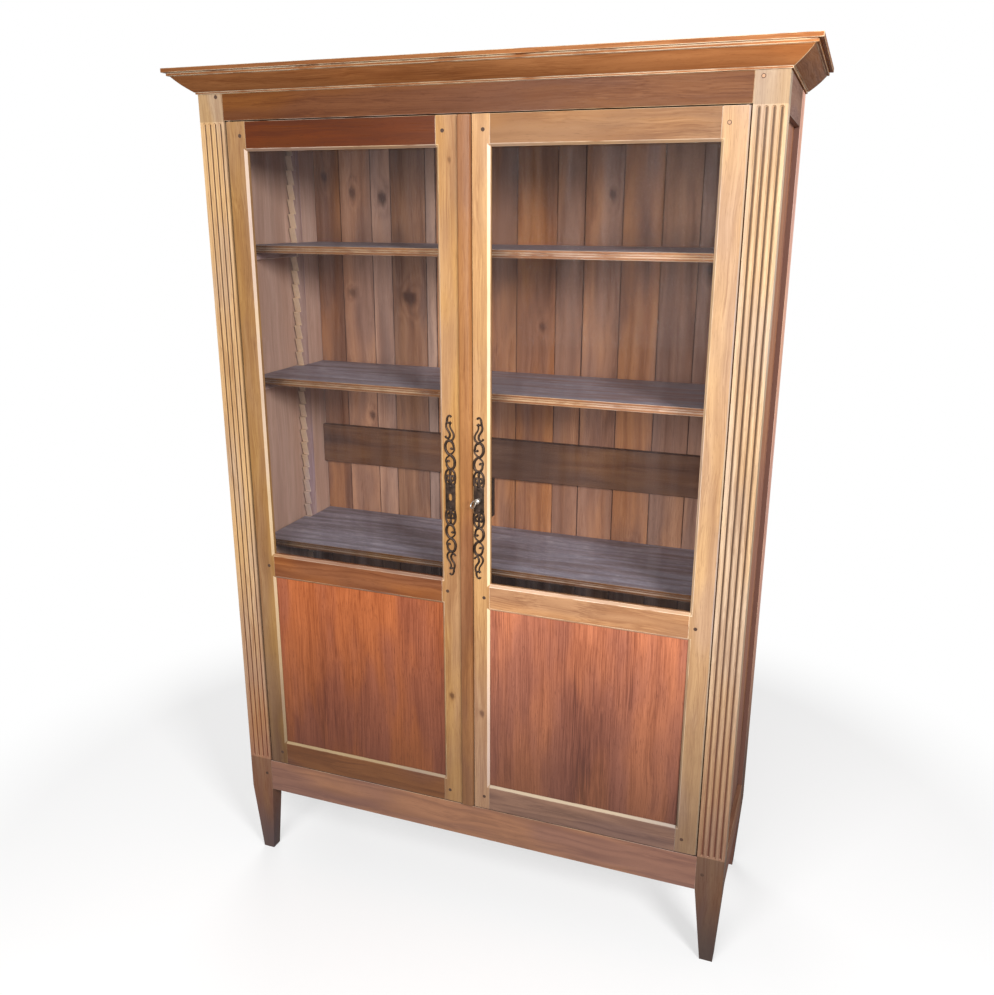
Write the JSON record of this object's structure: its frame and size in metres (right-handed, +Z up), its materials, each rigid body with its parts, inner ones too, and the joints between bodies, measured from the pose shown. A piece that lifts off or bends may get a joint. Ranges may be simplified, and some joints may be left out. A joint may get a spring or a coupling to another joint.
{
  "type": "bookcase with glass doors",
  "caption": "Tall two-door wooden bookcase with glazed and panelled doors, adjustable shelves, fluted posts, tapered feet and a projecting cornice.",
  "frame": {"origin": "centre of the footprint of the whole object, on the floor", "axes": "+Z up from the floor; +Y from the doors towards the back boards; +X to the right as seen from in front"},
  "size_m": [1.41, 0.487, 2.06],
  "materials": {
    "post_fruitwood": "polished honey-coloured fruitwood",
    "case_walnut": "polished red-brown walnut",
    "door_fruitwood": "polished honey-coloured fruitwood",
    "panel_walnut": "polished red-brown walnut with upright grain",
    "strip_walnut": "polished walnut",
    "board_oak": "dull brown boards with knots",
    "shelf_wood": "dull brown boards",
    "rack_oak": "bare grey-brown wood",
    "pane_glass": "clear",
    "fitting_iron": "dark brown wrought iron",
    "fitting_steel": "worn bright steel"
  },
  "bodies": {
    "carcase": {"post_front_left": "post_fruitwood", "post_rear_left": "case_walnut", "rail_side_top_left": "case_walnut", "rail_side_bottom_left": "case_walnut", "panel_side_left": "case_walnut", "rack_front_left": "rack_oak", "rack_rear_left": "rack_oak", "cleat_upper_left": "rack_oak", "cleat_middle_left": "rack_oak", "cleat_lower_left": "rack_oak", "cornice_left": "case_walnut", "pivot_bottom_left": "fitting_steel", "pivot_top_left": "fitting_steel", "post_front_right": "post_fruitwood", "post_rear_right": "case_walnut", "rail_side_top_right": "case_walnut", "rail_side_bottom_right": "case_walnut", "panel_side_right": "case_walnut", "rack_front_right": "rack_oak", "rack_rear_right": "rack_oak", "cleat_upper_right": "rack_oak", "cleat_middle_right": "rack_oak", "cleat_lower_right": "rack_oak", "cornice_right": "case_walnut", "pivot_bottom_right": "fitting_steel", "pivot_top_right": "fitting_steel", "rail_front_top": "case_walnut", "rail_front_bottom": "case_walnut", "rail_rear_top": "board_oak", "rail_rear_middle": "board_oak", "rail_rear_bottom": "board_oak", "boards_back_left": "board_oak", "boards_back_centre": "board_oak", "boards_back_right": "board_oak", "board_top": "board_oak", "board_bottom": "board_oak", "shelf_upper": "shelf_wood", "shelf_middle": "shelf_wood", "shelf_lower": "shelf_wood", "cornice_front": "case_walnut"},
    "left_door": {"stile_hinge_left": "door_fruitwood", "stile_meeting_left": "door_fruitwood", "rail_top_left": "door_fruitwood", "rail_middle_left": "door_fruitwood", "rail_bottom_left": "door_fruitwood", "glass_left": "pane_glass", "panel_left": "panel_walnut", "strip_meeting": "strip_walnut", "escutcheon_left": "fitting_iron"},
    "right_door": {"stile_hinge_right": "door_fruitwood", "stile_meeting_right": "door_fruitwood", "rail_top_right": "door_fruitwood", "rail_middle_right": "door_fruitwood", "rail_bottom_right": "door_fruitwood", "glass_right": "pane_glass", "panel_right": "panel_walnut", "escutcheon_right": "fitting_iron", "lock_case": "fitting_iron"},
    "lock_bolt": {"lock_bolt": "fitting_steel"},
    "key": {"key": "fitting_steel"}
  },
  "joints": [
    {"name": "left_door_hinge", "type": "hinge", "parent": "carcase", "child": "left_door", "pos_m": [-0.577, -0.1815, 0.301], "axis": [0, 0, -1], "range_deg": [0, 100]},
    {"name": "right_door_hinge", "type": "hinge", "parent": "carcase", "child": "right_door", "pos_m": [0.577, -0.1815, 0.301], "axis": [0, 0, 1], "range_deg": [0, 100]},
    {"name": "key_turn", "type": "hinge", "parent": "right_door", "child": "key", "pos_m": [0.0355, -0.1885, 1.119], "axis": [0, -1, 0], "range_deg": [0, 270]},
    {"name": "lock_bolt_slide", "type": "slide", "parent": "right_door", "child": "lock_bolt", "axis": [-1, 0, 0], "range_m": [0, 0.012]}
  ],
  "couplings": [
    {"joint": "key_turn", "follows": "lock_bolt_slide", "rad_per_m": 392.69}
  ]
}
